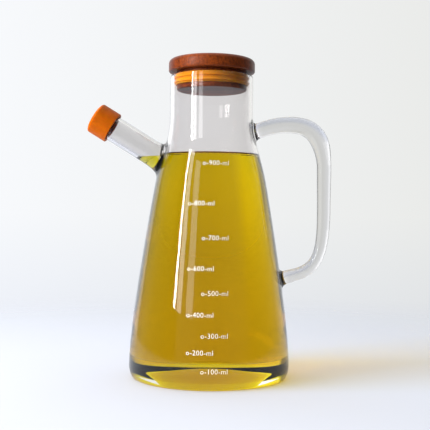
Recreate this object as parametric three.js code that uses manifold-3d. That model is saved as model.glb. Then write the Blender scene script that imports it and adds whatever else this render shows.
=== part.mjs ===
// Oil cruet: a clear glass bell bottle with a slanted pouring spout and a fused rod handle, filled with
// oil, closed by a wooden plug lid with a soft sealing ring and by a soft cap on the spout.
// Millimetres, +Z up, origin at the centre of the flat underside. Spout towards -X, handle towards +X.
import * as THREE from "three";
import { mergeVertices } from "three/addons/utils/BufferGeometryUtils.js";
import Module from "manifold-3d";

const wasm = await Module();
wasm.setup();

// Gap left between pieces that touch
const GAP = 0.3;
// How far a cutting solid reaches past what it cuts
const OVERSHOOT = 5;

// Bottle body, a surface of revolution
const BASE_RADIUS = 53.5;
const FOOT_CORNER = 9;
const NECK_RADIUS = 27.8;
const NECK_START = 176.5;
const RIM_HEIGHT = 201;
const WALL = 2.2;
const FLOOR = 4.5;
const INNER_CORNER = 8;
// Outline of the flank from the foot to the neck, as radius and height
const FLANK = [
  [BASE_RADIUS, FOOT_CORNER],
  [53.0, 19],
  [51.2, 38],
  [47.6, 64.5],
  [43.5, 91.5],
  [39.2, 117.5],
  [36.0, 134.5],
  [32.4, 148.5],
  [29.6, 158.5],
  [28.2, 167.5],
  [NECK_RADIUS, NECK_START],
];
const FLANK_STEPS = 18;

// Spout, a straight tube in the XZ plane that rises towards -X
const SPOUT_ANGLE = THREE.MathUtils.degToRad(31.5);
const SPOUT_POINT = [-54.6, 158.5];
const SPOUT_RADIUS = 8.6;
const SPOUT_BORE = 6.8;
// Places along the axis, counted outwards from SPOUT_POINT
const SPOUT_FROM = -40;
const SPOUT_ROOT = -28;
const SPOUT_WALL_AT = -25;
const SPOUT_TO = 24.5;
const SPOUT_MOUTH_ROUND = 0.6;
// The fused root flares by this much at the wall, and over this length outside it
const SPOUT_FLARE = 1.8;
const SPOUT_FLARE_LENGTH = 9;

// Handle, a bent rod in the XZ plane: control points of the arch from the neck, of the bend into the
// straight drop and of the bend out of it, and the end of the straight lower arm on the flank
const HANDLE_ARCH = [
  [27.4, 163.4],
  [37, 167],
  [44, 169.1],
  [53, 169.1],
];
const HANDLE_UPPER_BEND = [
  [53, 169.1],
  [69, 169.1],
  [76.1, 160],
  [76.1, 138],
];
const HANDLE_LOWER_BEND = [
  [76.1, 112],
  [76.1, 85],
  [73.2, 72.8],
  [57.3, 68.6],
];
const HANDLE_FLANK_ROOT = [46.2, 65.4];
// Radius of the rod at places along it, as share of its length and radius
const HANDLE_THICKNESS = [
  [0, 5.9],
  [0.03, 5.1],
  [0.14, 5.4],
  [0.3, 6.1],
  [0.42, 4.8],
  [0.6, 4.5],
  [0.8, 4.0],
  [0.93, 4.2],
  [0.97, 4.5],
  [1, 5.4],
];

// Oil
const OIL_LEVEL = 147;

// Lid: a round disc over a plug with a groove for the sealing ring
const LID_RADIUS = 28.9;
const LID_BOTTOM = 203.3;
const LID_TOP = 212.1;
const LID_TOP_ROUND = 3.2;
const LID_BOTTOM_ROUND = 1.2;
const PLUG_RADIUS = 23.4;
const PLUG_BOTTOM = 191.1;
const PLUG_ROUND = 0.9;
const GROOVE_RADIUS = 21.6;
const GROOVE_FROM = 194;
const GROOVE_TO = 200.6;

// Sealing ring with two fins that press on the inside of the neck
const RING_BAND = 24.2;
const RING_FIN = 25.3;
const FIN_HEIGHT = 1.5;
// Where each fin starts above the ring's lower edge
const FIN_STARTS = [0.8, 3.9];

// Spout cap
const CAP_RADIUS = 10.55;
const CAP_OPEN_END = 13.4;
const CAP_LENGTH = 15.2;
const CAP_BULGE = 1.1;
const CAP_ROUND = 1.6;
const CAP_EDGE = 0.4;

// Facets round each turned piece
const BOTTLE_SIDES = 56;
const LID_SIDES = 40;
const SPOUT_SIDES = 28;
const HANDLE_SIDES = 14;
const HANDLE_STEPS = 44;

// Side of the box that cuts the oil off at its level
const BOX_SIDE = 400;

function toManifold(geometry) {
  const bare = geometry.clone();
  bare.deleteAttribute("normal");
  bare.deleteAttribute("uv");
  const merged = mergeVertices(bare, 1e-3);
  const mesh = new wasm.Mesh({
    numProp: 3,
    vertProperties: new Float32Array(merged.attributes.position.array),
    triVerts: new Uint32Array(merged.index.array),
  });
  return new wasm.Manifold(mesh);
}

function toGeometry(manifold) {
  const mesh = manifold.getMesh();
  const geometry = new THREE.BufferGeometry();
  geometry.setAttribute("position", new THREE.BufferAttribute(mesh.vertProperties, 3));
  geometry.setIndex(new THREE.BufferAttribute(mesh.triVerts, 1));
  return geometry;
}

// Points on an arc about a centre, from one angle to another in degrees, first and last included
function arc(radius, height, round, from, to, steps = 4) {
  const points = [];
  for (let i = 0; i <= steps; i++) {
    const a = THREE.MathUtils.degToRad(from + ((to - from) * i) / steps);
    points.push([radius + round * Math.cos(a), height + round * Math.sin(a)]);
  }
  return points;
}

// A closed solid of revolution about Z from an outline that runs upwards on its outer side
function turned(outline, sides) {
  const points = outline.map(([radius, height]) => new THREE.Vector2(radius, height));
  return new THREE.LatheGeometry(points, sides).rotateX(Math.PI / 2);
}

// The outer outline of the flank, moved inwards along its normal by the given depth
function flank(depth) {
  const curve = new THREE.SplineCurve(FLANK.map(([radius, height]) => new THREE.Vector2(radius, height)));
  const points = [];
  for (let i = 0; i <= FLANK_STEPS; i++) {
    const place = curve.getPointAt(i / FLANK_STEPS);
    const along = curve.getTangentAt(i / FLANK_STEPS);
    points.push([place.x - depth * along.y, place.y + depth * along.x]);
  }
  return points;
}

function bodyOutline() {
  const lip = WALL / 2;
  return [
    [0, 0],
    ...arc(BASE_RADIUS - FOOT_CORNER, FOOT_CORNER, FOOT_CORNER, -90, 0, 5).slice(0, -1),
    ...flank(0),
    ...arc(NECK_RADIUS - lip, RIM_HEIGHT - lip, lip, 0, 90, 3),
    [0, RIM_HEIGHT],
  ];
}

// The hollow inside the bottle, or what fills it when it is drawn in by a clearance
function hollowOutline(clearance, top) {
  const depth = WALL + clearance;
  const floor = FLOOR + clearance;
  const walls = flank(depth).filter(([, height]) => height > floor + INNER_CORNER);
  const side = BASE_RADIUS - depth;
  return [
    [0, floor],
    ...arc(side - INNER_CORNER, floor + INNER_CORNER, INNER_CORNER, -90, 0, 4),
    ...walls,
    ...top,
  ];
}

function cavity() {
  const bore = NECK_RADIUS - WALL;
  const lip = WALL / 2;
  const mouth = [
    ...arc(bore + lip, RIM_HEIGHT - lip, lip, 180, 90, 3),
    [bore + lip, RIM_HEIGHT + OVERSHOOT],
    [0, RIM_HEIGHT + OVERSHOOT],
  ];
  return turned(hollowOutline(0, mouth), BOTTLE_SIDES);
}

// Turns a solid made along +Z, with its start at zero, onto the spout's axis
function ontoSpout(geometry) {
  return geometry.rotateY(SPOUT_ANGLE - Math.PI / 2).translate(SPOUT_POINT[0], 0, SPOUT_POINT[1]);
}

function spoutOuter() {
  const flareEnd = SPOUT_WALL_AT + SPOUT_FLARE_LENGTH;
  const outline = [[0, SPOUT_ROOT]];
  const steps = 6;
  for (let i = 0; i <= steps; i++) {
    const height = SPOUT_ROOT + ((flareEnd - SPOUT_ROOT) * i) / steps;
    const flare = SPOUT_FLARE * ((flareEnd - height) / SPOUT_FLARE_LENGTH) ** 2;
    outline.push([SPOUT_RADIUS + flare, height]);
  }
  const round = SPOUT_MOUTH_ROUND;
  outline.push(...arc(SPOUT_RADIUS - round, SPOUT_TO - round, round, 0, 90, 2));
  outline.push([0, SPOUT_TO]);
  return ontoSpout(turned(outline, SPOUT_SIDES));
}

// The spout's bore, from inside the bottle to past its mouth, drawn in by a clearance
function spoutBore(clearance) {
  const radius = SPOUT_BORE - clearance;
  const outline = [
    [0, SPOUT_FROM],
    [radius, SPOUT_FROM],
    [radius, SPOUT_TO + OVERSHOOT],
    [0, SPOUT_TO + OVERSHOOT],
  ];
  return ontoSpout(turned(outline, SPOUT_SIDES));
}

function at([x, z]) {
  return new THREE.Vector3(x, 0, z);
}

function bend(points) {
  return new THREE.CubicBezierCurve3(...points.map(at));
}

function straight(from, to) {
  return new THREE.LineCurve3(at(from), at(to));
}

// Centre line of the handle: a low arch, a bend into the drop, and a bend back to the flank
function handleLine() {
  const line = new THREE.CurvePath();
  line.add(bend(HANDLE_ARCH));
  line.add(bend(HANDLE_UPPER_BEND));
  line.add(straight(HANDLE_UPPER_BEND[3], HANDLE_LOWER_BEND[0]));
  line.add(bend(HANDLE_LOWER_BEND));
  line.add(straight(HANDLE_LOWER_BEND[3], HANDLE_FLANK_ROOT));
  return line;
}

// Rod thickness at a share of the handle's length, eased between the listed places
function handleRadius(share) {
  let i = 1;
  while (i < HANDLE_THICKNESS.length - 1 && HANDLE_THICKNESS[i][0] < share) i++;
  const [from, thick] = HANDLE_THICKNESS[i - 1];
  const [to, next] = HANDLE_THICKNESS[i];
  const t = THREE.MathUtils.smoothstep(share, from, to);
  return thick + (next - thick) * t;
}

// A straight cylinder whose rings are carried along the handle's centre line
function handleRod() {
  const line = handleLine();
  const rod = new THREE.CylinderGeometry(1, 1, 1, HANDLE_SIDES, HANDLE_STEPS);
  const place = rod.attributes.position;
  for (let i = 0; i < place.count; i++) {
    const share = 0.5 - place.getY(i);
    const centre = line.getPointAt(share);
    const along = line.getTangentAt(share);
    const radius = handleRadius(share);
    const outward = place.getX(i) * radius;
    const sideways = -place.getZ(i) * radius;
    place.setXYZ(i, centre.x - along.z * outward, sideways, centre.z + along.x * outward);
  }
  return rod;
}

function glassBottle() {
  const body = toManifold(turned(bodyOutline(), BOTTLE_SIDES));
  const joined = body.add(toManifold(spoutOuter())).add(toManifold(handleRod()));
  const hollowed = joined.subtract(toManifold(cavity())).subtract(toManifold(spoutBore(0)));
  return toGeometry(hollowed);
}

// All below the oil level, in the bottle and in the low end of the spout
function oil() {
  const neck = [
    [NECK_RADIUS - WALL - GAP, NECK_START],
    [0, NECK_START],
  ];
  const inBody = toManifold(turned(hollowOutline(GAP, neck), BOTTLE_SIDES));
  const inSpout = toManifold(spoutBore(GAP));
  const below = new THREE.BoxGeometry(BOX_SIDE, BOX_SIDE, BOX_SIDE).translate(0, 0, OIL_LEVEL - BOX_SIDE / 2);
  return toGeometry(inBody.add(inSpout).intersect(toManifold(below)));
}

function lid() {
  const outline = [
    [0, PLUG_BOTTOM],
    ...arc(PLUG_RADIUS - PLUG_ROUND, PLUG_BOTTOM + PLUG_ROUND, PLUG_ROUND, -90, 0, 2),
    [PLUG_RADIUS, GROOVE_FROM],
    [GROOVE_RADIUS, GROOVE_FROM],
    [GROOVE_RADIUS, GROOVE_TO],
    [PLUG_RADIUS, GROOVE_TO],
    [PLUG_RADIUS, LID_BOTTOM],
    ...arc(LID_RADIUS - LID_BOTTOM_ROUND, LID_BOTTOM + LID_BOTTOM_ROUND, LID_BOTTOM_ROUND, -90, 0, 2),
    ...arc(LID_RADIUS - LID_TOP_ROUND, LID_TOP - LID_TOP_ROUND, LID_TOP_ROUND, 0, 90, 4),
    [0, LID_TOP],
  ];
  return turned(outline, LID_SIDES);
}

function sealRing() {
  const inner = GROOVE_RADIUS + GAP;
  const bottom = GROOVE_FROM + GAP;
  const top = GROOVE_TO - GAP;
  const chamfer = (RING_FIN - RING_BAND) / 2;
  const fins = FIN_STARTS.flatMap((start) => [
    [RING_BAND, bottom + start],
    [RING_FIN, bottom + start + chamfer],
    [RING_FIN, bottom + start + FIN_HEIGHT - chamfer / 2],
    [RING_BAND, bottom + start + FIN_HEIGHT],
  ]);
  const outline = [
    [inner, bottom],
    [RING_BAND, bottom],
    ...fins,
    [RING_BAND, top],
    [inner, top],
    [inner, bottom],
  ];
  return turned(outline, LID_SIDES);
}

function spoutCap() {
  const bore = SPOUT_RADIUS + GAP;
  const end = CAP_OPEN_END + CAP_LENGTH - CAP_BULGE;
  const crown = [0.5, 0].map((share) => [CAP_RADIUS * share, end + CAP_BULGE * (1 - share ** 2)]);
  const outline = [
    [0, SPOUT_TO + GAP],
    [bore, SPOUT_TO + GAP],
    [bore, CAP_OPEN_END],
    [CAP_RADIUS - CAP_EDGE, CAP_OPEN_END],
    [CAP_RADIUS, CAP_OPEN_END + CAP_EDGE],
    ...arc(CAP_RADIUS - CAP_ROUND, end - CAP_ROUND, CAP_ROUND, 0, 75, 3),
    ...crown,
  ];
  return ontoSpout(turned(outline, SPOUT_SIDES));
}

function piece(name, geometry, color, roughness, extra = {}) {
  const material = new THREE.MeshStandardMaterial({ color, roughness, metalness: 0, ...extra });
  const mesh = new THREE.Mesh(geometry, material);
  mesh.name = name;
  return mesh;
}

const cruet = new THREE.Group();
cruet.add(piece("glass_bottle", glassBottle(), "#e6eceb", 0.03, { transparent: true, opacity: 0.25 }));
cruet.add(piece("oil", oil(), "#b08c05", 0.05, { transparent: true, opacity: 0.85 }));
cruet.add(piece("wooden_lid", lid(), "#8a4a22", 0.4));
cruet.add(piece("seal_ring", sealRing(), "#d98a24", 0.5));
cruet.add(piece("spout_cap", spoutCap(), "#d9660a", 0.5));

export default cruet;
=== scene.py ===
import math

import bpy
import numpy as np
from mathutils import Matrix, Vector


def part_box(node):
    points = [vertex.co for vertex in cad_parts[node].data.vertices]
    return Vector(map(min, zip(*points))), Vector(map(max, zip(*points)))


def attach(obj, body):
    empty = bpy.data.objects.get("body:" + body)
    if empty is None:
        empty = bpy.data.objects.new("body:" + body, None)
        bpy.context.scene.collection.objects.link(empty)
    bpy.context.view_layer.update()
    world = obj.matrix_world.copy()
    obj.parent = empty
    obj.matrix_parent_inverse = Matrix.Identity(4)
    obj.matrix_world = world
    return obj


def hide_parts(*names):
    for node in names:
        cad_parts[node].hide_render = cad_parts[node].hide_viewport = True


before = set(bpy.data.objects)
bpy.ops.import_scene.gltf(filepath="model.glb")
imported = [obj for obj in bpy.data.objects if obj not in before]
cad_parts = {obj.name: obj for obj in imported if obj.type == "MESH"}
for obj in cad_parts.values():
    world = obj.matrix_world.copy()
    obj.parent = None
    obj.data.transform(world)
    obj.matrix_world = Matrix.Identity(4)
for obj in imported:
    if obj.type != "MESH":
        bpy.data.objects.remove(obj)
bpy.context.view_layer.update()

bl_info = {
    "name": "Oil Cruet",
    "version": (1, 0, 0),
    "blender": (4, 5, 0),
    "location": "3D View > Sidebar > Cruet",
    "description": "Builds a glass oil cruet with its oil, lid, seal, cap, measuring marks and studio",
    "category": "Add Mesh",
}

MM = 0.001
OIL_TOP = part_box("oil")[1][2]

# Glass body, in millimetres. The foot's corner is two arcs: a wide one from the flank down to the turn,
# in degrees below level, and a tight one under it. The base is pushed up in the middle.
FOOT_WIDE = 16.0
FOOT_TIGHT = 2.5
FOOT_TURN = 25
PUSH_UP = 6.5
PUSH_UP_RADIUS = 44.0
INNER_CORNER = 7.0
NECK_RADIUS = 27.8
NECK_FROM = 176.5
NECK_TO = 201.0
# The flank, as radius and height from the foot's corner to the neck
FLANK = (
    (53.5, 9.0),
    (53.0, 19.0),
    (51.2, 38.0),
    (47.6, 64.5),
    (43.5, 91.5),
    (39.2, 117.5),
    (36.0, 134.5),
    (32.4, 148.5),
    (29.6, 158.5),
    (28.2, 167.5),
    (27.8, 176.5),
)

# Spout axis in the XZ plane, and places along it counted outwards from SPOUT_POINT. The tube flares where it
# meets the wall, and its mouth is rounded.
SPOUT_ANGLE = math.radians(31.5)
SPOUT_POINT = np.array((-54.6, 0.0, 158.5))
SPOUT_RADIUS = 8.6
SPOUT_BORE = 6.8
SPOUT_FROM = -40.0
SPOUT_WALL_AT = -25.0
SPOUT_TO = 24.5
SPOUT_FLARE = 1.1
SPOUT_FLARE_LENGTH = 9.0
SPOUT_MOUTH_ROUND = 0.8

# Handle centre line in the XZ plane: arch, bend into the drop, bend out of it, end of the lower arm
HANDLE_ARCH = ((27.4, 163.4), (37.0, 167.0), (44.0, 169.1), (53.0, 169.1))
HANDLE_UPPER_BEND = ((53.0, 169.1), (69.0, 169.1), (76.1, 160.0), (76.1, 138.0))
HANDLE_LOWER_BEND = ((76.1, 112.0), (76.1, 85.0), (73.2, 72.8), (57.3, 68.6))
HANDLE_FLANK_ROOT = (46.2, 65.4)
# Share of the handle's length, and the rod's radius there
HANDLE_THICKNESS = (
    (0.0, 5.9),
    (0.03, 5.1),
    (0.14, 5.4),
    (0.3, 6.1),
    (0.42, 4.8),
    (0.6, 4.5),
    (0.8, 4.0),
    (0.93, 4.2),
    (0.97, 4.5),
    (1.0, 5.4),
)

# How far from its seam with the body an arm has become as grey as solid glass
SOLID_FROM_SEAM = 6.0

# Oil: how far it reaches into the wall, so that no gap shows, and the width of its climb at the wall
OIL_REACH = 0.25
MENISCUS_WIDTH = 1.2

# Lid: disc, plug and the groove that holds the seal, as radii and heights
DISC_RADIUS = 28.9
DISC_FROM = 203.3
DISC_TO = 212.1
DISC_LOWER_ROUND = 1.2
DISC_UPPER_ROUND = 3.2
PLUG_RADIUS = 23.4
PLUG_FROM = 191.1
PLUG_ROUND = 0.9
GROOVE_RADIUS = 21.6
GROOVE_FROM = 194.0
GROOVE_TO = 200.6
GROOVE_ROUND = 0.2

# Seal: a band between two radii and two heights, and a fin at each of two heights. A fin's neck and tip are
# counted out from the band and up from the fin's height.
SEAL_INNER = 21.9
SEAL_OUTER = 24.2
SEAL_FROM = 194.3
SEAL_TO = 200.3
SEAL_INNER_ROUND = 0.2
SEAL_OUTER_ROUND = 0.3
FIN_HEIGHTS = (195.1, 198.2)
FIN_UNDERSIDE = ((0.0, -0.35), (0.2, 0.0))
FIN_TIP = (0.7, 0.55)
FIN_TIP_ROUND = 0.4
FIN_UPPER_SIDE = ((0.2, 1.2), (0.0, 1.5))

# Cap: radii, and places along the spout's axis
CAP_RADIUS = 10.55
CAP_BORE = 8.9
CAP_FROM = 13.4
CAP_TO = 28.6
CAP_STOP = 24.8
CAP_BORE_ROUND = 0.4
CAP_LIP_INNER_ROUND = 0.3
CAP_LIP_OUTER_ROUND = 0.45
CAP_SIDE_FROM = 13.9
CAP_ROUND = 1.6
CAP_CROWN = 1.1

# Heights of the marks for 100 to 900 ml, and how far odd and even hundreds stand off the middle
MARK_HEIGHTS = (12.5, 23.8, 34.0, 46.6, 59.8, 74.9, 93.9, 115.5, 141.2)
MARK_OFFSETS = (3.2, -5.9)
# Letter size and thinning, as shares of the figures' height, and the ink's lift off the glass and half depth
LETTER_SIZE = 1.45
LETTER_THINNING = -0.015
LETTER_SPACE = 1.04
INK_LIFT = 0.05
INK_HALF_DEPTH = 0.03

# Index of refraction that borosilicate and vegetable oil share, which makes the wetted wall vanish
GLASS_AND_OIL_IOR = 1.473

# Studio, in metres and degrees
FLOOR_RADIUS = 1.5
FLOOR_BELOW_FOOT = 0.0003
FLOOR_FADE = (0.14, 0.6)
# Window panes: degrees left of the camera, width, and share of the window's power
PANES = ((54.5, 0.22, 1.0), (46.5, 0.42, 0.34), (30.0, 0.6, 0.24))
PANE_DISTANCE = 3.0
PANE_MIDDLE = 1.17
PANE_HEIGHT = 1.5
LEFT_FILL_SHARE = 9.0
# Brightness of the surround from left (0) to right (1), and from the front (0) to the back (1)
ACROSS = (
    (0.0, 0.35),
    (0.11, 0.35),
    (0.14, 1.4),
    (0.3, 1.3),
    (0.37, 1.0),
    (0.63, 1.0),
    (0.7, 1.15),
    (0.84, 1.15),
    (0.89, 0.9),
    (0.95, 0.35),
    (1.0, 0.3),
)
FRONT_TO_BACK = ((0.15, 0.22), (0.5, 0.5), (0.56, 0.6), (0.7, 1.0))
OVERHEAD_GREY = 0.9
SURROUND_LEFT = "#f8fafd"
SURROUND_RIGHT = "#eaebe9"
SURROUND_LOW = "#e8ecf7"
CAMERA_PLACE = (0.0, -0.5678, 0.1081)
CAMERA_TURN = -0.312
CAMERA_LEAN = 0.6
CAMERA_LENS = 70.74


def linear(code):
    """sRGB hex colour to linear: c / 12.92 up to 0.04045, and ((c + 0.055) / 1.055) ** 2.4 above it."""
    shares = np.array([int(code[i:i + 2], 16) for i in (1, 3, 5)]) / 255
    low = shares / 12.92
    high = ((shares + 0.055) / 1.055) ** 2.4
    return tuple(float(v) for v in np.where(shares <= 0.04045, low, high))


class CruetGlass(bpy.types.PropertyGroup):
    """Sizes and finish of the blown glass"""

    wall: bpy.props.FloatProperty(
        name="Wall", description="Thickness of the blown wall", default=0.0022, unit="LENGTH")
    floor: bpy.props.FloatProperty(
        name="Floor", description="Thickness of the glass under the oil", default=0.0045, unit="LENGTH")
    rim: bpy.props.FloatProperty(
        name="Rim height", description="Height of the mouth's rim", default=NECK_TO * MM, unit="LENGTH")
    fillet: bpy.props.FloatProperty(
        name="Weld", description="Width of the fused weld at spout and handle", default=0.003, unit="LENGTH")
    tint: bpy.props.FloatVectorProperty(
        name="Tint", description="What thick glass keeps of white light", subtype="COLOR", size=3,
        default=linear("#f6f4f4"))
    rod: bpy.props.FloatVectorProperty(
        name="Rod tint", description="What the solid glass of the handle keeps of white light",
        subtype="COLOR", size=3, default=linear("#e0dfde"))


class CruetOil(bpy.types.PropertyGroup):
    """Level and colour of the oil"""

    level: bpy.props.FloatProperty(
        name="Level", description="Height of the oil's surface", default=OIL_TOP, unit="LENGTH")
    meniscus: bpy.props.FloatProperty(
        name="Meniscus", description="How far the oil climbs at the wall", default=0.0014, unit="LENGTH")
    clear: bpy.props.FloatVectorProperty(
        name="Colour kept", description="Share of each colour that a stretch of oil lets through",
        subtype="COLOR", size=3, default=(0.9835, 0.9615, 0.0))
    strength: bpy.props.FloatProperty(
        name="Strength", description="Absorption for each metre of oil", default=250.0, min=0.0)


class CruetTrim(bpy.types.PropertyGroup):
    """Colours of the lid, the seal and the cap"""

    bamboo_light: bpy.props.FloatVectorProperty(
        name="Bamboo, light", description="Pale strips of the lid", subtype="COLOR", size=3,
        default=linear("#90400f"))
    bamboo_dark: bpy.props.FloatVectorProperty(
        name="Bamboo, dark", description="Dark strips of the lid", subtype="COLOR", size=3,
        default=linear("#3a1004"))
    strip: bpy.props.FloatProperty(
        name="Strip", description="Width of a bamboo strip in the lid", default=0.005, unit="LENGTH")
    seal: bpy.props.FloatVectorProperty(
        name="Seal", description="Silicone of the sealing ring", subtype="COLOR", size=3,
        default=linear("#d3850a"))
    cap: bpy.props.FloatVectorProperty(
        name="Cap", description="Silicone of the spout cap", subtype="COLOR", size=3,
        default=linear("#bb5900"))


class CruetPrint(bpy.types.PropertyGroup):
    """Size and colour of the measuring marks"""

    height: bpy.props.FloatProperty(
        name="Figure height", description="Height of the figures", default=0.0031, unit="LENGTH")
    ink: bpy.props.FloatVectorProperty(
        name="Ink", description="Colour of the screen print", subtype="COLOR", size=3,
        default=linear("#ffffff"))


class CruetStudio(bpy.types.PropertyGroup):
    """Light and floor of the studio"""

    floor: bpy.props.FloatVectorProperty(
        name="Floor", description="Colour of the floor", subtype="COLOR", size=3,
        default=linear("#c8cbd4"))
    window: bpy.props.FloatProperty(
        name="Window", description="Power of the brightest window pane", default=34.0, unit="POWER")
    overhead: bpy.props.FloatProperty(
        name="Overhead", description="Power of the soft light above", default=3.4, unit="POWER")
    fill: bpy.props.FloatProperty(
        name="Fill", description="Power of the soft light in front; the one at the left goes with it",
        default=4.0, unit="POWER")
    sky: bpy.props.FloatProperty(
        name="Surround", description="Brightness of the pale surround", default=1.0, min=0.0)


class CruetSettings(bpy.types.PropertyGroup):
    """All settings of the oil cruet"""

    glass: bpy.props.PointerProperty(type=CruetGlass)
    oil: bpy.props.PointerProperty(type=CruetOil)
    trim: bpy.props.PointerProperty(type=CruetTrim)
    print: bpy.props.PointerProperty(type=CruetPrint)
    studio: bpy.props.PointerProperty(type=CruetStudio)


def arc(radius, height, round_, start, end, steps):
    """Points (radius + round cos a, height + round sin a) for the angle a from start to end, in degrees."""
    a = np.radians(np.linspace(start, end, steps + 1))
    return np.column_stack((radius + round_ * np.cos(a), height + round_ * np.sin(a)))


def stretch(start, end, steps):
    """Points evenly spaced on the straight line from start to end."""
    t = np.linspace(0, 1, steps + 1)[:, None]
    return np.asarray(start, float) * (1 - t) + np.asarray(end, float) * t


def joined(*runs):
    """Runs of points one after the other, with points that repeat the one before left out."""
    points = np.vstack([np.atleast_2d(run) for run in runs])
    step = np.linalg.norm(np.diff(points, axis=0), axis=1)
    return points[np.concatenate(([True], step > 1e-4))]


def flank_line():
    """Dense points of the flank: a uniform Catmull-Rom curve through FLANK. Between points p1 and p2, with
    p0 and p3 beside them, it is p1 + t (p2 - p0) / 2 + t^2 (p0 - 5/2 p1 + 2 p2 - p3 / 2)
    + t^3 (3/2 p1 - 3/2 p2 + (p3 - p0) / 2)."""
    p = np.array(FLANK)
    p = np.vstack((p[:1], p, p[-1:]))
    t = np.linspace(0, 1, 60, endpoint=False)[None, :, None]
    p0, p1, p2, p3 = (p[i:len(p) - 3 + i, None, :] for i in range(4))
    curve = p1 + t * (p2 - p0) / 2 + t**2 * (p0 - 2.5 * p1 + 2 * p2 - p3 / 2)
    curve = curve + t**3 * (1.5 * (p1 - p2) + (p3 - p0) / 2)
    return np.vstack((curve.reshape(-1, 2), p[-1:]))


FLANK_LINE = flank_line()


def directions(line):
    """Unit direction of a line at each of its points."""
    along = np.gradient(line, axis=0)
    return along / np.linalg.norm(along, axis=1)[:, None]


def respaced(line, steps):
    """Points evenly spaced along a line of points."""
    length = np.concatenate(([0], np.cumsum(np.linalg.norm(np.diff(line, axis=0), axis=1))))
    at = np.linspace(0, length[-1], steps + 1)
    return np.column_stack([np.interp(at, length, line[:, i]) for i in (0, 1)])


def flank(depth, steps):
    """Points evenly spaced along the flank, moved inwards by depth along its normal (-dz, dr) / length."""
    along = directions(FLANK_LINE)
    return respaced(FLANK_LINE + depth * np.column_stack((-along[:, 1], along[:, 0])), steps)


def pushed_up(r):
    """Height of the push-up under the foot at radius r: depth (1 + cos(pi r / its radius)) / 2, 0 past it."""
    return PUSH_UP * (1 + np.cos(np.pi * np.minimum(r / PUSH_UP_RADIUS, 1))) / 2


def foot_corner():
    """Outline of the foot's outer corner, from where it stands up to the flank."""
    turn = math.radians(FOOT_TURN)
    height = FOOT_TIGHT + (FOOT_WIDE - FOOT_TIGHT) * math.sin(turn)
    inset = FLANK[0][0] - FOOT_WIDE + (FOOT_WIDE - FOOT_TIGHT) * math.cos(turn)
    tight = arc(inset, FOOT_TIGHT, FOOT_TIGHT, -90, -FOOT_TURN, 12)
    wide = arc(FLANK[0][0] - FOOT_WIDE, height, FOOT_WIDE, -FOOT_TURN, 0, 14)
    return joined(tight, wide)


def base(height, end):
    """Outline of the pushed-up base over a height, from the axis to the radius end."""
    r = np.linspace(0, end, 45)
    return np.column_stack((r, height + pushed_up(r)))


def walls(depth, floor, steps):
    """Outline of the inner corner and the flank at a depth in the wall, from the floor upwards."""
    side = FLANK[0][0] - depth
    corner = arc(side - INNER_CORNER, floor + INNER_CORNER, INNER_CORNER, -90, 0, 20)
    rise = flank(depth, steps)
    return joined(corner, rise[rise[:, 1] > floor + INNER_CORNER + 0.4])


def hollow(depth, floor, steps):
    """Outline of what is inside the wall: base, inner corner and flank, from the axis upwards."""
    sides = walls(depth, floor, steps)
    return joined(base(floor, sides[0, 0]), sides)


def ring_faces(rows, sides, closed=False):
    """Faces between rings of points: each joins places j and j + 1 of one ring to those of the next."""
    i = np.arange(rows if closed else rows - 1)[:, None]
    j = np.arange(sides)[None, :]
    low, high = i * sides, (i + 1) % rows * sides
    after = (j + 1) % sides
    return np.stack(np.broadcast_arrays(low + j, low + after, high + after, high + j), -1).reshape(-1, 4)


def fan(pole, first, sides):
    """Triangles from the point at a pole to the ring that starts at point first, facing down."""
    j = np.arange(sides)
    return np.column_stack((np.full(sides, pole), first + (j + 1) % sides, first + j))


def turned(outline, sides, loop=False):
    """Surface of revolution: the outline's point (r, h) at angle a is (r cos a, r sin a, h). An open outline
    runs from the axis, up its outer side, to the axis, and a single point closes each pole."""
    rings = outline if loop else outline[1:-1]
    a = np.arange(sides) * 2 * np.pi / sides
    r, h = rings[:, :1], rings[:, 1:]
    grid = np.stack(np.broadcast_arrays(r * np.cos(a), r * np.sin(a), h), -1).reshape(-1, 3)
    sheet = ring_faces(len(rings), sides, loop)
    if loop:
        return grid, [sheet]
    poles = np.array(((0, 0, outline[0, 1]), (0, 0, outline[-1, 1])))
    bottom = fan(len(grid), 0, sides)
    top = fan(len(grid) + 1, len(grid) - sides, sides)[:, ::-1]
    return np.vstack((grid, poles)), [sheet, bottom, top]


def onto_spout(points):
    """Carries points made along +Z onto the spout's axis: (x, y, z) goes to the spout's point
    + z (-cos s, 0, sin s) + x (sin s, 0, cos s) + y (0, 1, 0), with s the spout's angle."""
    c, s = math.cos(SPOUT_ANGLE), math.sin(SPOUT_ANGLE)
    axes = np.array(((s, 0, c), (0, 1, 0), (-c, 0, s)))
    return SPOUT_POINT + points @ axes


def spout_radius(s):
    """Outer radius of the spout at place s: its radius, plus the flare times the square of the share left."""
    left = np.clip((SPOUT_WALL_AT + SPOUT_FLARE_LENGTH - s) / SPOUT_FLARE_LENGTH, 0, 1.4)
    return SPOUT_RADIUS + SPOUT_FLARE * left**2


def bend(points, steps=120):
    """Cubic Bezier: (1-t)^3 a + 3 (1-t)^2 t b + 3 (1-t) t^2 c + t^3 d."""
    t = np.linspace(0, 1, steps + 1)[:, None]
    a, b, c, d = np.array(points)
    return (1 - t)**3 * a + 3 * (1 - t)**2 * t * b + 3 * (1 - t) * t**2 * c + t**3 * d


def handle_line(steps):
    """Points evenly spaced along the handle's centre line, with their share of its length."""
    runs = (
        bend(HANDLE_ARCH),
        bend(HANDLE_UPPER_BEND),
        stretch(HANDLE_UPPER_BEND[3], HANDLE_LOWER_BEND[0], 40),
        bend(HANDLE_LOWER_BEND),
        stretch(HANDLE_LOWER_BEND[3], HANDLE_FLANK_ROOT, 30),
    )
    return respaced(joined(*runs), steps), np.linspace(0, 1, steps + 1)


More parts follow.
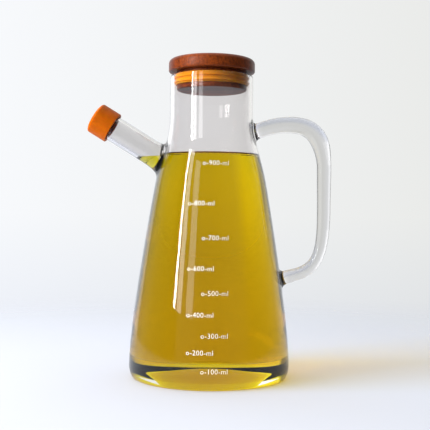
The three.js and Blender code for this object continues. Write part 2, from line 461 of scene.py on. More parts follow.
def handle_radius(share):
    """Rod radius at a share of the length, eased by 3 t^2 - 2 t^3 between the listed places."""
    places, radii = np.array(HANDLE_THICKNESS).T
    i = np.clip(np.searchsorted(places, share) - 1, 0, len(places) - 2)
    t = np.clip((share - places[i]) / (places[i + 1] - places[i]), 0, 1)
    return radii[i] + (radii[i + 1] - radii[i]) * (3 * t**2 - 2 * t**3)


def handle_rod(sides, steps):
    """Rings of the rod: at angle a a ring's point is the centre + radius (normal cos a + (0, 1, 0) sin a),
    with the normal square to the centre line, and a single point closes each end."""
    line, share = handle_line(steps)
    along = directions(line)
    radius = handle_radius(share)[:, None]
    a = -np.arange(sides)[None, :] * 2 * np.pi / sides
    x = line[:, :1] - along[:, 1:] * radius * np.cos(a)
    z = line[:, 1:] + along[:, :1] * radius * np.cos(a)
    y = np.broadcast_to(radius * np.sin(a), x.shape)
    grid = np.stack((x, y, z), -1).reshape(-1, 3)
    ends = np.array(((line[0, 0], 0, line[0, 1]), (line[-1, 0], 0, line[-1, 1])))
    first = fan(len(grid), 0, sides)
    final = fan(len(grid) + 1, steps * sides, sides)[:, ::-1]
    return np.vstack((grid, ends)), [ring_faces(steps + 1, sides), first, final]


def to_mesh(name, points, faces):
    """A mesh from points in millimetres and arrays of faces, written as whole arrays."""
    mesh = bpy.data.meshes.new(name)
    corners = np.concatenate([block.ravel() for block in faces])
    counts = np.concatenate([np.full(len(block), block.shape[1]) for block in faces])
    mesh.vertices.add(len(points))
    mesh.vertices.foreach_set("co", (np.asarray(points) * MM).astype(np.float32).ravel())
    mesh.loops.add(len(corners))
    mesh.loops.foreach_set("vertex_index", corners.astype(np.int32))
    mesh.polygons.add(len(counts))
    mesh.polygons.foreach_set("loop_start", (np.cumsum(counts) - counts).astype(np.int32))
    mesh.update(calc_edges=True)
    if mesh.validate():
        raise RuntimeError(name + " has faces that don't fit its points")
    return mesh


def combined(mesh, other, operation):
    """The closed mesh united with the other (UNION) or cut by it (DIFFERENCE, INTERSECT)."""
    target, tool = (bpy.data.objects.new("blank", m) for m in (mesh, other))
    for blank in (target, tool):
        bpy.context.scene.collection.objects.link(blank)
    cut = target.modifiers.new("cut", "BOOLEAN")
    cut.object = tool
    cut.operation = operation
    cut.solver = "MANIFOLD"
    depsgraph = bpy.context.evaluated_depsgraph_get()
    made = bpy.data.meshes.new_from_object(target.evaluated_get(depsgraph))
    for blank in (target, tool):
        bpy.data.objects.remove(blank)
    for used in (mesh, other):
        bpy.data.meshes.remove(used)
    if not len(made.polygons):
        raise RuntimeError("joining or cutting left nothing")
    return made


def points_of(mesh):
    """The mesh's points in millimetres."""
    points = np.empty(len(mesh.vertices) * 3, np.float32)
    mesh.vertices.foreach_get("co", points)
    return points.reshape(-1, 3).astype(float) / MM


def put(name, mesh, materials, node=None, slot=None, crease=35):
    """Makes the finished object of a mesh, smooth up to the crease angle, and hands it to the frame."""
    thing = bpy.data.objects.new(name, mesh)
    bpy.context.scene.collection.objects.link(thing)
    mesh.materials.clear()
    for material in materials:
        mesh.materials.append(material)
    mesh.polygons.foreach_set("use_smooth", np.ones(len(mesh.polygons), bool))
    mesh.set_sharp_from_angle(angle=math.radians(crease))
    if slot:
        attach(thing, "root")
    if node:
        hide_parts(node)
    return thing


def from_body(points):
    """Distance from the flank and neck: (r - R(z)) / sqrt(1 + R'(z)^2), with R the radius at height z."""
    heights = np.linspace(FLANK[0][1], NECK_TO, 400)
    line = np.vstack((FLANK_LINE, (NECK_RADIUS, NECK_TO)))
    radii = np.interp(heights, line[:, 1], line[:, 0])
    slope = np.interp(points[:, 2], heights, np.gradient(radii, heights))
    r = np.hypot(points[:, 0], points[:, 1])
    return (r - np.interp(points[:, 2], heights, radii)) / np.sqrt(1 + slope**2)


def along_spout(points):
    """Place s along the spout's axis, the share of p - point that lies on it, and the distance from it."""
    axis = np.array((-math.cos(SPOUT_ANGLE), 0, math.sin(SPOUT_ANGLE)))
    off = points - SPOUT_POINT
    s = off @ axis
    return s, np.linalg.norm(off - s[:, None] * axis, axis=1)


def from_spout(points):
    """Distance from the spout's outside: distance from its axis less its radius there. Past the inner end of
    the axis it is out of reach."""
    s, distance = along_spout(points)
    return np.where(s > SPOUT_FROM, distance - spout_radius(s), 100.0)


def from_handle(points):
    """Distance from the rod: distance from the nearest point of its centre line less the radius there. The
    points are taken a few thousand at a time, which keeps the table of distances small."""
    line, share = handle_line(400)
    nearest = np.empty(len(points))
    gap = np.empty(len(points))
    for part in np.array_split(np.arange(len(points)), max(1, len(points) // 4000)):
        d = np.hypot(points[part, None, 0] - line[:, 0], points[part, None, 2] - line[:, 1])
        i = d.argmin(axis=1)
        nearest[part] = share[i]
        gap[part] = d[np.arange(len(part)), i]
    return np.hypot(gap, points[:, 1]) - handle_radius(nearest)


def blended(a, b, width):
    """Smooth minimum: min(a, b) - h^2 width / 4, with h = max(width - |a - b|, 0) / width."""
    h = np.maximum(width - np.abs(a - b), 0) / width
    return np.minimum(a, b) - h**2 * width / 4


def weld(mesh, arm, width):
    """Moves the points near the seam between body and arm onto the smooth minimum of both distances, which
    lays a rounded weld of hot glass into the corner. Each of four steps is field / |slope|^2 times slope."""
    points = points_of(mesh)
    body, limb = from_body(points), arm(points)
    near = (np.abs(np.minimum(body, limb)) < 0.06) & (np.abs(body - limb) < width)
    chosen = points[near]

    def field(p):
        return blended(from_body(p), arm(p), width)

    for _ in range(4):
        value = field(chosen)
        steps = np.eye(3) * 0.02
        slope = np.stack([(field(chosen + e) - field(chosen - e)) / 0.04 for e in steps], -1)
        chosen = chosen - slope * (value / np.maximum((slope**2).sum(axis=1), 0.05))[:, None]
    points[near] = chosen
    mesh.vertices.foreach_set("co", (points * MM).astype(np.float32).ravel())
    mesh.update()


def add(tree, kind, inputs=(), stops=(), **settings):
    """Adds a shader node, sets its properties, ramp stops and sockets, and links sockets given as inputs."""
    made = tree.nodes.new("ShaderNode" + kind)
    for key, value in settings.items():
        setattr(made, key, value)
    if stops:
        ramp = made.color_ramp.elements
        while len(ramp) < len(stops):
            ramp.new(0.5)
        for element, (place, colour) in zip(ramp, stops):
            element.position = place
            element.color = (*colour, 1)
    for key, value in dict(inputs).items():
        if isinstance(value, bpy.types.NodeSocket):
            tree.links.new(value, made.inputs[key])
        elif isinstance(value, (tuple, list)) and len(value) == 3 and made.inputs[key].type == "RGBA":
            made.inputs[key].default_value = (*value, 1)
        else:
            made.inputs[key].default_value = value
    return made


def new_material(name):
    """An empty node material with its output, as (material, tree, output)."""
    material = bpy.data.materials.new(name)
    material.use_nodes = True
    tree = material.node_tree
    tree.nodes.clear()
    return material, tree, add(tree, "OutputMaterial")


def lit_through(tree, surface, kept):
    """A clear surface that casts no hard black shadow: a lamp's light goes straight on through it, and keeps
    the given share, so the floor, the oil and the seal get the light that real glass lets by."""
    path = add(tree, "LightPath").outputs["Is Shadow Ray"]
    straight = add(tree, "BsdfTransparent", {"Color": (kept, kept, kept)})
    return add(tree, "MixShader", {0: path, 1: surface.outputs[0], 2: straight.outputs[0]})


def glass_material(name, tint, rod, wetted):
    """Borosilicate, blown and fire polished: clear, with a faint slow ripple that bends reflections, and
    greyer where it is solid. Where oil wets the wall there is no step in density, so light goes straight on
    and the wall vanishes."""
    material, tree, output = new_material(name)
    place = add(tree, "TexCoord").outputs["Object"]
    # Ripples about 22 mm long
    ripple = add(tree, "TexNoise", {"Vector": place, "Scale": 45.0, "Detail": 1.0, "Roughness": 0.4})
    bump = add(tree, "Bump", {"Height": ripple.outputs["Fac"], "Strength": 0.12, "Distance": 0.0004})
    depth = add(tree, "Attribute", attribute_name="solid_glass").outputs["Fac"]
    tone = add(tree, "ValToRGB", {"Fac": depth}, ((0.0, tuple(tint)), (1.0, tuple(rod))))
    surface = add(tree, "BsdfPrincipled", {
        "Base Color": tone.outputs["Color"],
        "Roughness": 0.0,
        "IOR": 1.0 if wetted else GLASS_AND_OIL_IOR,
        "Transmission Weight": 1.0,
        "Normal": bump.outputs["Normal"],
    })
    surface = lit_through(tree, surface, 1.0 if wetted else 0.9)
    tree.links.new(surface.outputs[0], output.inputs["Surface"])
    return material


def oil_material(settings):
    """Vegetable oil: as dense as glass to light, so that only its free surface mirrors and bends, and it
    drinks blue light first, which leaves gold where it is deep."""
    material, tree, output = new_material("golden_oil")
    place = add(tree, "TexCoord").outputs["Object"]
    height = add(tree, "SeparateXYZ", {"Vector": place}).outputs["Z"]
    free = add(tree, "Math", {0: height, 1: settings.level - 0.0002}, operation="GREATER_THAN")
    look = {"Base Color": linear("#fffae0"), "Roughness": 0.0, "Transmission Weight": 1.0}
    wetting = add(tree, "BsdfPrincipled", {**look, "IOR": 1.0})
    mirror = add(tree, "BsdfPrincipled", {**look, "IOR": GLASS_AND_OIL_IOR})
    surface = add(tree, "MixShader", {0: free.outputs[0], 1: wetting.outputs[0], 2: mirror.outputs[0]})
    surface = lit_through(tree, surface, 1.0)
    depth = add(tree, "VolumeAbsorption", {"Color": tuple(settings.clear), "Density": settings.strength})
    tree.links.new(surface.outputs[0], output.inputs["Surface"])
    tree.links.new(depth.outputs[0], output.inputs["Volume"])
    return material


def bamboo_material(settings):
    """Carbonised bamboo, glued up of strips and lacquered: strips of uneven brown with fine long fibres,
    under a satin coat that gives the edge a soft shine."""
    material, tree, output = new_material("lacquered_bamboo")
    place = add(tree, "TexCoord").outputs["Object"]
    split = add(tree, "SeparateXYZ", {"Vector": place})
    count = add(tree, "Math", {0: split.outputs["Y"], 1: settings.strip}, operation="DIVIDE")
    strip = add(tree, "Math", {0: count.outputs[0]}, operation="FLOOR")
    shade = add(tree, "TexWhiteNoise", {"W": strip.outputs[0]}, noise_dimensions="1D")
    # Fibres 0.4 mm across and 17 mm long, slow clouds 6 to 8 mm across, and pores of about 1 mm
    along = add(tree, "Mapping", {"Vector": place, "Scale": (60.0, 2500.0, 900.0)})
    fibre = add(tree, "TexNoise", {"Vector": along.outputs[0], "Scale": 1.0, "Detail": 4.0, "Roughness": 0.6})
    drift = add(tree, "Mapping", {"Vector": place, "Scale": (25.0, 160.0, 120.0)})
    cloud = add(tree, "TexNoise", {"Vector": drift.outputs[0], "Scale": 1.0, "Detail": 2.0})
    pores = add(tree, "Mapping", {"Vector": place, "Scale": (900.0, 1100.0, 700.0)})
    pore = add(tree, "TexNoise", {"Vector": pores.outputs[0], "Scale": 1.0, "Detail": 2.0, "Roughness": 0.7})
    mixed = add(tree, "Mix", {0: 0.45, 2: shade.outputs["Value"], 3: fibre.outputs["Fac"]}, data_type="FLOAT")
    mixed = add(tree, "Mix", {0: 0.35, 2: mixed.outputs[0], 3: cloud.outputs["Fac"]}, data_type="FLOAT")
    mixed = add(tree, "Mix", {0: 0.45, 2: mixed.outputs[0], 3: pore.outputs["Fac"]}, data_type="FLOAT")
    dark, light = tuple(settings.bamboo_dark), tuple(settings.bamboo_light)
    ramp = add(tree, "ValToRGB", {"Fac": mixed.outputs[0]}, ((0.36, dark), (0.64, light)))
    relief = add(tree, "Bump", {"Height": fibre.outputs["Fac"], "Strength": 0.25, "Distance": 0.0001})
    surface = add(tree, "BsdfPrincipled", {
        "Base Color": ramp.outputs["Color"],
        "Roughness": 0.4,
        "IOR": 1.5,
        "Specular IOR Level": 0.12,
        "Coat Weight": 0.2,
        "Coat Roughness": 0.3,
        "Normal": relief.outputs["Normal"],
    })
    tree.links.new(surface.outputs[0], output.inputs["Surface"])
    return material


def silicone_material(name, colour, glow):
    """Moulded silicone: a soft satin skin that light enters a little way, with faint flow marks 3 mm wide."""
    material, tree, output = new_material(name)
    place = add(tree, "TexCoord").outputs["Object"]
    flow = add(tree, "TexNoise", {"Vector": place, "Scale": 300.0, "Detail": 3.0, "Roughness": 0.55})
    deep = tuple(0.82 * v for v in colour)
    ramp = add(tree, "ValToRGB", {"Fac": flow.outputs["Fac"]}, ((0.3, deep), (0.7, tuple(colour))))
    relief = add(tree, "Bump", {"Height": flow.outputs["Fac"], "Strength": 0.1, "Distance": 0.0001})
    surface = add(tree, "BsdfPrincipled", {
        "Base Color": ramp.outputs["Color"],
        "Roughness": 0.45,
        "IOR": 1.41,
        "Specular IOR Level": 0.15,
        "Subsurface Weight": glow,
        "Subsurface Radius": (0.003, 0.0012, 0.0004),
        "Subsurface Scale": 1.0,
        "Normal": relief.outputs["Normal"],
    })
    tree.links.new(surface.outputs[0], output.inputs["Surface"])
    return material


def print_material(ink):
    """Screen-printed enamel, fired onto the glass: opaque matt white with a faint grain of 0.4 mm."""
    material, tree, output = new_material("white_enamel_print")
    place = add(tree, "TexCoord").outputs["Object"]
    grain = add(tree, "TexNoise", {"Vector": place, "Scale": 2500.0, "Detail": 2.0})
    dim = tuple(0.86 * v for v in ink)
    ramp = add(tree, "ValToRGB", {"Fac": grain.outputs["Fac"]}, ((0.35, dim), (0.65, tuple(ink))))
    surface = add(tree, "BsdfPrincipled", {
        "Base Color": ramp.outputs["Color"],
        "Roughness": 0.55,
        "IOR": 1.5,
    })
    tree.links.new(surface.outputs[0], output.inputs["Surface"])
    return material


class CRUET_OT_glass_bottle(bpy.types.Operator):
    """Blow the glass body, and weld the spout and the handle onto it"""

    bl_idname = "cruet.glass_bottle"
    bl_label = "Glass bottle"

    def execute(self, context):
        sizes = context.scene.cruet.glass
        wall, floor, rim, width = (size / MM for size in (sizes.wall, sizes.floor, sizes.rim, sizes.fillet))
        shell = combined(self.body(wall, floor, rim), self.arms(wall, floor), "UNION")
        shell = combined(shell, self.bore(), "DIFFERENCE")
        weld(shell, from_spout, width)
        weld(shell, from_handle, width)
        self.note_solid_glass(shell)
        clear = glass_material("blown_borosilicate", sizes.tint, sizes.rod, False)
        wet = glass_material("borosilicate_under_oil", sizes.tint, sizes.rod, True)
        put("cruet_glass", shell, (clear, wet), "glass_bottle", "glass")
        self.wet_faces(shell, wall, floor, context.scene.cruet.oil.level / MM)
        context.view_layer.update()
        return {"FINISHED"}

    def body(self, wall, floor, rim):
        """The hollow body turned from one outline: foot, flank, neck, rim, and back down inside."""
        foot = foot_corner()
        bore = NECK_RADIUS - wall
        lip = arc(NECK_RADIUS - wall / 2, rim - wall / 2, wall / 2, 0, 180, 12)
        outline = joined(
            base(0, foot[0, 0]),
            foot,
            flank(0, 116),
            stretch((NECK_RADIUS, NECK_FROM), lip[0], 12),
            lip,
            stretch(lip[-1], (bore, NECK_FROM), 12),
            hollow(wall, floor, 100)[::-1],
        )
        return to_mesh("glass_bottle", *turned(outline, 192))

    def arms(self, wall, floor):
        """Spout and handle, cut off at the middle of the wall that they are welded onto."""
        root, flared, mouth = SPOUT_WALL_AT - 5, SPOUT_WALL_AT + 10, SPOUT_TO - SPOUT_MOUTH_ROUND
        places = joined(stretch((0, root), (0, flared), 30), stretch((0, flared), (0, mouth), 24))[:, 1]
        side = np.column_stack((spout_radius(places), places))
        lip = arc(SPOUT_RADIUS - SPOUT_MOUTH_ROUND, mouth, SPOUT_MOUTH_ROUND, 0, 90, 6)
        points, faces = turned(joined((0, root), side, lip, (0, SPOUT_TO)), 96)
        spout = to_mesh("spout", onto_spout(points), faces)
        both = combined(spout, to_mesh("handle", *handle_rod(56, 190)), "UNION")
        neck = (NECK_RADIUS - wall / 2, NECK_FROM)
        middle = joined(hollow(wall / 2, floor / 2, 60), neck, (0, NECK_FROM))
        return combined(both, to_mesh("middle", *turned(middle, 192)), "DIFFERENCE")

    def bore(self):
        """What the spout's bore takes away, widening in a quarter round at the mouth."""
        mouth, wide = SPOUT_TO - SPOUT_MOUTH_ROUND, SPOUT_BORE + SPOUT_MOUTH_ROUND
        outline = joined(
            (0, SPOUT_FROM),
            stretch((SPOUT_BORE, SPOUT_FROM), (SPOUT_BORE, mouth), 44),
            arc(wide, mouth, SPOUT_MOUTH_ROUND, 180, 90, 6),
            (wide, SPOUT_TO + 5),
            (0, SPOUT_TO + 5),
        )
        points, faces = turned(outline, 96)
        return to_mesh("bore", onto_spout(points), faces)

    def note_solid_glass(self, shell):
        """Writes how solid the glass is at each point: 0 on the wall, up to 1 on the handle's rod and to a
        half on the spout's tube. It grows with the distance from the seam."""
        points = points_of(shell)
        body = from_body(points)
        rod = np.clip((body - from_handle(points)) / SOLID_FROM_SEAM, 0, 1)
        tube = np.clip((body - from_spout(points)) / SOLID_FROM_SEAM, 0, 1)
        depth = shell.attributes.new("solid_glass", "FLOAT", "POINT")
        depth.data.foreach_set("value", np.maximum(rod, 0.5 * tube).astype(np.float32))

    def wet_faces(self, shell, wall, floor, level):
        """Gives the second material to the faces under the level that lie inside the middle of the wall, or
        in the spout's bore: near its axis, and on the spout's side of the body."""
        centres = np.empty(len(shell.polygons) * 3, np.float32)
        shell.polygons.foreach_get("center", centres)
        centres = centres.reshape(-1, 3).astype(float) / MM
        r, z = np.hypot(centres[:, 0], centres[:, 1]), centres[:, 2]
        halfway = walls(wall / 2, floor / 2, 60)
        in_body = (z > floor / 2 + pushed_up(r)) & (r < np.interp(z, *halfway[:, ::-1].T))
        in_bore = (along_spout(centres)[1] < SPOUT_BORE + 0.3) & (centres[:, 0] < -20)
        wetted = (in_body | in_bore) & (z < level)
        shell.polygons.foreach_set("material_index", wetted.astype(np.int32))
        shell.update()


class CRUET_OT_oil(bpy.types.Operator):
    """Fill the bottle and the low end of the spout with oil"""

    bl_idname = "cruet.oil"
    bl_label = "Oil"

    def execute(self, context):
        sizes = context.scene.cruet
        wall, floor = sizes.glass.wall / MM - OIL_REACH, sizes.glass.floor / MM - OIL_REACH
        level, climb = sizes.oil.level / MM, sizes.oil.meniscus / MM
        oil = combined(self.in_body(wall, floor, level, climb), self.in_spout(level), "UNION")
        put("cruet_oil", oil, (oil_material(sizes.oil),), "oil", "oil")
        return {"FINISHED"}

    def in_body(self, wall, floor, level, climb):
        """Oil in the body. At distance d from the wall its surface is level + climb exp(-d / width)."""
        top = level + climb
        sides = hollow(wall, floor, 120)
        sides = sides[sides[:, 1] < top - 0.3]
        edge = np.interp(top, *walls(wall, floor, 120)[:, ::-1].T)
        # Rings lie close together in the outer 5 mm, where the surface bends up
        near = edge - np.linspace(0, 5, 16)**1.5 / 5**0.5
        r = np.concatenate((near, np.linspace(edge - 5, 0, 12)[1:]))
        surface = np.column_stack((r, level + climb * np.exp(-(edge - r) / MENISCUS_WIDTH)))
        return to_mesh("oil", *turned(joined(sides, surface), 192))

    def in_spout(self, level):
        """Oil in the low end of the spout: its bore, as far as it lies in a wide slab under the level."""
        low, radius = SPOUT_FROM + 4, SPOUT_BORE + OIL_REACH
        outline = joined((0, low), (radius, low), (radius, SPOUT_TO), (0, SPOUT_TO))
        points, faces = turned(outline, 96)
        slab = np.array(((0, 0), (200, 0), (200, level), (0, level)), float)
        tube = to_mesh("tube", onto_spout(points), faces)
        return combined(tube, to_mesh("slab", *turned(slab, 48)), "INTERSECT")


class CRUET_OT_lid(bpy.types.Operator):
    """Turn the bamboo lid with its plug and groove"""

    bl_idname = "cruet.lid"
    bl_label = "Bamboo lid"

    def execute(self, context):
        inner, groove = PLUG_RADIUS - PLUG_ROUND, PLUG_RADIUS - GROOVE_ROUND
        lower, upper = DISC_RADIUS - DISC_LOWER_ROUND, DISC_RADIUS - DISC_UPPER_ROUND
        outline = joined(
            stretch((0, PLUG_FROM), (inner, PLUG_FROM), 6),
            arc(inner, PLUG_FROM + PLUG_ROUND, PLUG_ROUND, -90, 0, 6),
            arc(groove, GROOVE_FROM - GROOVE_ROUND, GROOVE_ROUND, 0, 90, 3),
            (GROOVE_RADIUS, GROOVE_FROM),
            (GROOVE_RADIUS, GROOVE_TO),
            arc(groove, GROOVE_TO + GROOVE_ROUND, GROOVE_ROUND, -90, 0, 3),
            stretch((PLUG_RADIUS, DISC_FROM), (lower, DISC_FROM), 4),
            arc(lower, DISC_FROM + DISC_LOWER_ROUND, DISC_LOWER_ROUND, -90, 0, 8),
            arc(upper, DISC_TO - DISC_UPPER_ROUND, DISC_UPPER_ROUND, 0, 90, 14),
            stretch((upper, DISC_TO), (0, DISC_TO), 6),
        )
        mesh = to_mesh("lid", *turned(outline, 144))
        put("cruet_lid", mesh, (bamboo_material(context.scene.cruet.trim),), "wooden_lid", "wood")
        return {"FINISHED"}


class CRUET_OT_seal(bpy.types.Operator):
    """Mould the sealing ring with its two fins"""

    bl_idname = "cruet.seal"
    bl_label = "Sealing ring"

    def execute(self, context):
        inner, outer = SEAL_INNER + SEAL_INNER_ROUND, SEAL_OUTER - SEAL_OUTER_ROUND
        outline = joined(
            arc(inner, SEAL_FROM + SEAL_INNER_ROUND, SEAL_INNER_ROUND, 180, 270, 3),
            arc(outer, SEAL_FROM + SEAL_OUTER_ROUND, SEAL_OUTER_ROUND, -90, 0, 4),
            *(self.fin(height) for height in FIN_HEIGHTS),
            arc(outer, SEAL_TO - SEAL_OUTER_ROUND, SEAL_OUTER_ROUND, 0, 90, 4),
            arc(inner, SEAL_TO - SEAL_INNER_ROUND, SEAL_INNER_ROUND, 90, 180, 3),
        )
        mesh = to_mesh("seal", *turned(outline, 144, loop=True))
        colour = tuple(context.scene.cruet.trim.seal)
        put("cruet_seal", mesh, (silicone_material("amber_silicone", colour, 0.4),), "seal_ring", "seal", 60)
        return {"FINISHED"}

    def fin(self, height):
        """Outline of one fin: a thin neck out of the band and a round tip that presses on the glass."""
        tip = arc(*FIN_TIP, FIN_TIP_ROUND, -60, 60, 6)
        return joined(FIN_UNDERSIDE, tip, FIN_UPPER_SIDE) + (SEAL_OUTER, height)


class CRUET_OT_cap(bpy.types.Operator):
    """Mould the soft cap that closes the spout"""

    bl_idname = "cruet.cap"
    bl_label = "Spout cap"

    def execute(self, context):
        shoulder = CAP_TO - CAP_CROWN
        bore = CAP_BORE - CAP_BORE_ROUND
        lip_inner, lip_outer = CAP_BORE + CAP_LIP_INNER_ROUND, CAP_RADIUS - CAP_LIP_OUTER_ROUND
        # The crown is a flat dome: its height is its rise times 1 - (r / cap radius)^2
        r = np.linspace(CAP_RADIUS - CAP_ROUND, 0, 12)
        crown = np.column_stack((r, shoulder + CAP_CROWN * (1 - (r / CAP_RADIUS)**2)))
        outline = joined(
            stretch((0, CAP_STOP), (bore, CAP_STOP), 4),
            arc(bore, CAP_STOP - CAP_BORE_ROUND, CAP_BORE_ROUND, 90, 0, 4),
            stretch((CAP_BORE, CAP_STOP - CAP_BORE_ROUND), (CAP_BORE, CAP_FROM + CAP_LIP_INNER_ROUND), 10),
            arc(lip_inner, CAP_FROM + CAP_LIP_INNER_ROUND, CAP_LIP_INNER_ROUND, 180, 270, 4),
            arc(lip_outer, CAP_FROM + CAP_LIP_OUTER_ROUND, CAP_LIP_OUTER_ROUND, -90, 0, 6),
            stretch((CAP_RADIUS, CAP_SIDE_FROM), (CAP_RADIUS, shoulder - CAP_ROUND), 10),
            arc(CAP_RADIUS - CAP_ROUND, shoulder - CAP_ROUND, CAP_ROUND, 0, 72, 10),
            crown[1:],
        )
        points, faces = turned(outline, 128)
        mesh = to_mesh("cap", onto_spout(points), faces)
        colour = tuple(context.scene.cruet.trim.cap)
        put("cruet_cap", mesh, (silicone_material("orange_silicone", colour, 0.25),), "spout_cap", "cap")
        return {"FINISHED"}


class CRUET_OT_marks(bpy.types.Operator):
    """Print the measuring marks onto the front of the glass"""

    bl_idname = "cruet.marks"
    bl_label = "Measuring marks"

    def execute(self, context):
        sizes = context.scene.cruet.print
        height = sizes.height / MM
        points, faces, count = [], [], 0
        for i, middle in enumerate(MARK_HEIGHTS):
            flat, corners = self.lettering(context, "o-%d-ml" % (100 * (i + 1)), height)
            z = middle + flat[:, 1] - height / 2
            r = np.interp(z, FLANK_LINE[:, 1], FLANK_LINE[:, 0]) + INK_LIFT + flat[:, 2]
            a = (flat[:, 0] + MARK_OFFSETS[i % 2]) / r
            points.append(np.column_stack((r * np.sin(a), -r * np.cos(a), z)))
            faces.append(corners + count)
            count += len(flat)
        mesh = to_mesh("marks", np.vstack(points), [np.vstack(faces)])
        put("cruet_marks", mesh, (print_material(tuple(sizes.ink)),), None, "glass", 20)
        return {"FINISHED"}

    def lettering(self, context, words, height):
        """Flat letters, as points in millimetres and triangles. The caller wraps them round the flank: x
        becomes the angle x / r, y the height, and z the lift off the glass."""
        text = bpy.data.curves.new("mark", "FONT")
        text.body = words
        text.align_x = "CENTER"
        text.size = height * LETTER_SIZE
        text.extrude = INK_HALF_DEPTH
        text.space_character = LETTER_SPACE
        text.offset = LETTER_THINNING * height
        text.resolution_u = 2
        blank = bpy.data.objects.new("mark", text)
        context.scene.collection.objects.link(blank)
        depsgraph = context.evaluated_depsgraph_get()
        mesh = bpy.data.meshes.new_from_object(blank.evaluated_get(depsgraph))
        flat = points_of(mesh) * MM
        mesh.calc_loop_triangles()
        corners = np.empty(len(mesh.loop_triangles) * 3, np.int32)
        mesh.loop_triangles.foreach_get("vertices", corners)
        bpy.data.objects.remove(blank)
        bpy.data.curves.remove(text)
        bpy.data.meshes.remove(mesh)
        return flat, corners.reshape(-1, 3)


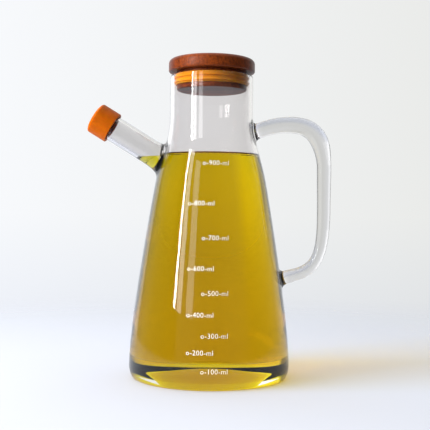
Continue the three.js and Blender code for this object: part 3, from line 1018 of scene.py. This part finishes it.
class CRUET_OT_studio(bpy.types.Operator):
    """Lay the pale floor, hang the soft lights and set the camera"""

    bl_idname = "cruet.studio"
    bl_label = "Studio"

    def execute(self, context):
        settings = context.scene.cruet.studio
        scene = context.scene
        scene.view_settings.view_transform = "Standard"
        self.floor(settings)
        self.surround(scene, settings)
        self.lights(settings)
        self.camera(scene)
        return {"FINISHED"}

    def floor(self, settings):
        """A flat disc, just under the foot, that fades out into the surround."""
        sides = 96
        r = np.linspace(0, FLOOR_RADIUS / MM, 40)[1:, None]
        a = np.arange(sides) * 2 * np.pi / sides
        z = -FLOOR_BELOW_FOOT / MM
        grid = np.stack(np.broadcast_arrays(r * np.cos(a), r * np.sin(a), z), -1).reshape(-1, 3)
        faces = [ring_faces(len(r), sides)[:, ::-1], fan(len(grid), 0, sides)[:, ::-1]]
        mesh = to_mesh("floor", np.vstack((grid, (0, 0, z))), faces)
        material, tree, output = new_material("matt_floor")
        place = add(tree, "TexCoord").outputs["Object"]
        far = add(tree, "VectorMath", {0: place}, operation="LENGTH")
        near, gone = FLOOR_FADE
        fade = add(tree, "MapRange", {"Value": far.outputs["Value"], "From Min": near, "From Max": gone},
                   interpolation_type="SMOOTHSTEP")
        matt = add(tree, "BsdfDiffuse", {"Color": tuple(settings.floor)})
        clear = add(tree, "BsdfTransparent")
        mix = add(tree, "MixShader", {0: fade.outputs[0], 1: matt.outputs[0], 2: clear.outputs[0]})
        tree.links.new(mix.outputs[0], output.inputs["Surface"])
        thing = bpy.data.objects.new("floor", mesh)
        bpy.context.scene.collection.objects.link(thing)
        mesh.materials.append(material)

    def surround(self, scene, settings):
        """A pale surround: bright behind the cruet and overhead, brightest a little to each side of that,
        darker at both sides and dim in front, so that the edges of the glass are drawn dark, the oil glows
        towards its sides, and the front of the glass gives back little light."""
        world = bpy.data.worlds.new("studio_surround")
        world.use_nodes = True
        tree = world.node_tree
        tree.nodes.clear()
        output = add(tree, "OutputWorld")
        way = add(tree, "TexCoord").outputs["Generated"]
        split = add(tree, "SeparateXYZ", {"Vector": way})
        left, right = np.array(linear(SURROUND_LEFT)), np.array(linear(SURROUND_RIGHT))
        stops = [(at, tuple(share * (left if at < 0.5 else right))) for at, share in ACROSS]
        side = add(tree, "MapRange", {"Value": split.outputs["X"], "From Min": -1.0, "From Max": 1.0})
        hue = add(tree, "ValToRGB", {"Fac": side.outputs[0]}, stops)
        stops = [(at, (grey, grey, grey)) for at, grey in FRONT_TO_BACK]
        depth = add(tree, "MapRange", {"Value": split.outputs["Y"], "From Min": -1.0, "From Max": 1.0})
        level = add(tree, "ValToRGB", {"Fac": depth.outputs[0]}, stops)
        height = add(tree, "MapRange", {"Value": split.outputs["Z"], "From Min": 0.6, "From Max": 0.95},
                     interpolation_type="SMOOTHSTEP")
        above = (OVERHEAD_GREY, OVERHEAD_GREY, OVERHEAD_GREY)
        level = add(tree, "Mix", {0: height.outputs[0], 6: level.outputs["Color"], 7: above},
                    data_type="RGBA")
        low = add(tree, "MapRange", {"Value": split.outputs["Z"], "From Min": 0.0, "From Max": -0.25})
        cool = add(tree, "Mix", {0: low.outputs[0], 6: level.outputs[2], 7: linear(SURROUND_LOW)},
                   data_type="RGBA", blend_type="MULTIPLY")
        shade = add(tree, "Mix", {0: 1.0, 6: hue.outputs["Color"], 7: cool.outputs[2]},
                    data_type="RGBA", blend_type="MULTIPLY")
        sky = add(tree, "Background", {"Color": shade.outputs[2], "Strength": settings.sky})
        tree.links.new(sky.outputs[0], output.inputs["Surface"])
        scene.world = world

    def light(self, name, place, size, power, mirrored=True):
        """A rectangular soft light at a place in metres, turned towards the middle of the cruet. The fill
        lights show neither in the glass nor through it."""
        lamp = bpy.data.lights.new(name, "AREA")
        lamp.shape = "RECTANGLE"
        lamp.size, lamp.size_y = size
        lamp.energy = power
        thing = bpy.data.objects.new(name, lamp)
        aim = Vector((0, 0, 0.1)) - Vector(place)
        thing.visible_camera = False
        thing.visible_glossy = thing.visible_transmission = mirrored
        thing.matrix_world = Matrix.Translation(place) @ aim.to_track_quat("-Z", "Y").to_matrix().to_4x4()
        bpy.context.scene.collection.objects.link(thing)

    def lights(self, settings):
        """A tall window at the front left, as three panes of which the left one is narrow and bright, a soft
        light overhead, and fills in front and at the left that lift the lid, the seal and the cap."""
        for i, (turn, width, share) in enumerate(PANES):
            a = math.radians(turn)
            place = (-PANE_DISTANCE * math.sin(a), -PANE_DISTANCE * math.cos(a), PANE_MIDDLE)
            self.light("window_pane_%d" % (i + 1), place, (width, PANE_HEIGHT), settings.window * share)
        self.light("overhead_soft_light", (0, 0.3, 1.6), (1.6, 1.6), settings.overhead)
        self.light("front_fill", (-0.9, -1.6, 0.9), (1.2, 1.2), settings.fill, False)
        self.light("left_fill", (-1.3, -0.4, 0.5), (0.7, 0.7), LEFT_FILL_SHARE * settings.fill, False)

    def camera(self, scene):
        """A level camera in front, 568 mm from the axis, with a 71 mm lens on a 36 mm sensor."""
        lens = bpy.data.cameras.new("camera")
        lens.sensor_width = 36
        lens.lens = CAMERA_LENS
        lens.clip_start, lens.clip_end = 0.01, 50
        thing = bpy.data.objects.new("camera", lens)
        turn = Matrix.Rotation(math.radians(CAMERA_TURN), 4, "Z")
        level = Matrix.Rotation(math.radians(90), 4, "X")
        lean = Matrix.Rotation(math.radians(CAMERA_LEAN), 4, "Z")
        thing.matrix_world = Matrix.Translation(CAMERA_PLACE) @ turn @ level @ lean
        scene.collection.objects.link(thing)
        scene.camera = thing


class CRUET_PT_panel(bpy.types.Panel):
    """Lists the pieces of the cruet and their settings"""

    bl_idname = "CRUET_PT_panel"
    bl_label = "Oil cruet"
    bl_space_type = "VIEW_3D"
    bl_region_type = "UI"
    bl_category = "Cruet"

    def draw(self, context):
        for piece in PIECES:
            self.layout.operator(piece.bl_idname)
        settings = context.scene.cruet
        for group in (settings.glass, settings.oil, settings.trim, settings.print, settings.studio):
            box = self.layout.box()
            for name in group.__annotations__:
                box.prop(group, name)


GROUPS = (CruetGlass, CruetOil, CruetTrim, CruetPrint, CruetStudio, CruetSettings)
PIECES = (
    CRUET_OT_glass_bottle,
    CRUET_OT_oil,
    CRUET_OT_lid,
    CRUET_OT_seal,
    CRUET_OT_cap,
    CRUET_OT_marks,
    CRUET_OT_studio,
)


def register():
    """Makes the settings, the operators and the panel known to Blender."""
    for made in (*GROUPS, *PIECES, CRUET_PT_panel):
        bpy.utils.register_class(made)
    bpy.types.Scene.cruet = bpy.props.PointerProperty(type=CruetSettings)


def unregister():
    """Takes the settings, the operators and the panel away again."""
    del bpy.types.Scene.cruet
    for made in reversed((*GROUPS, *PIECES, CRUET_PT_panel)):
        bpy.utils.unregister_class(made)


def main():
    register()
    for piece in PIECES:
        section, name = piece.bl_idname.split(".")
        getattr(getattr(bpy.ops, section), name)()


if __name__ == "__main__":
    main()
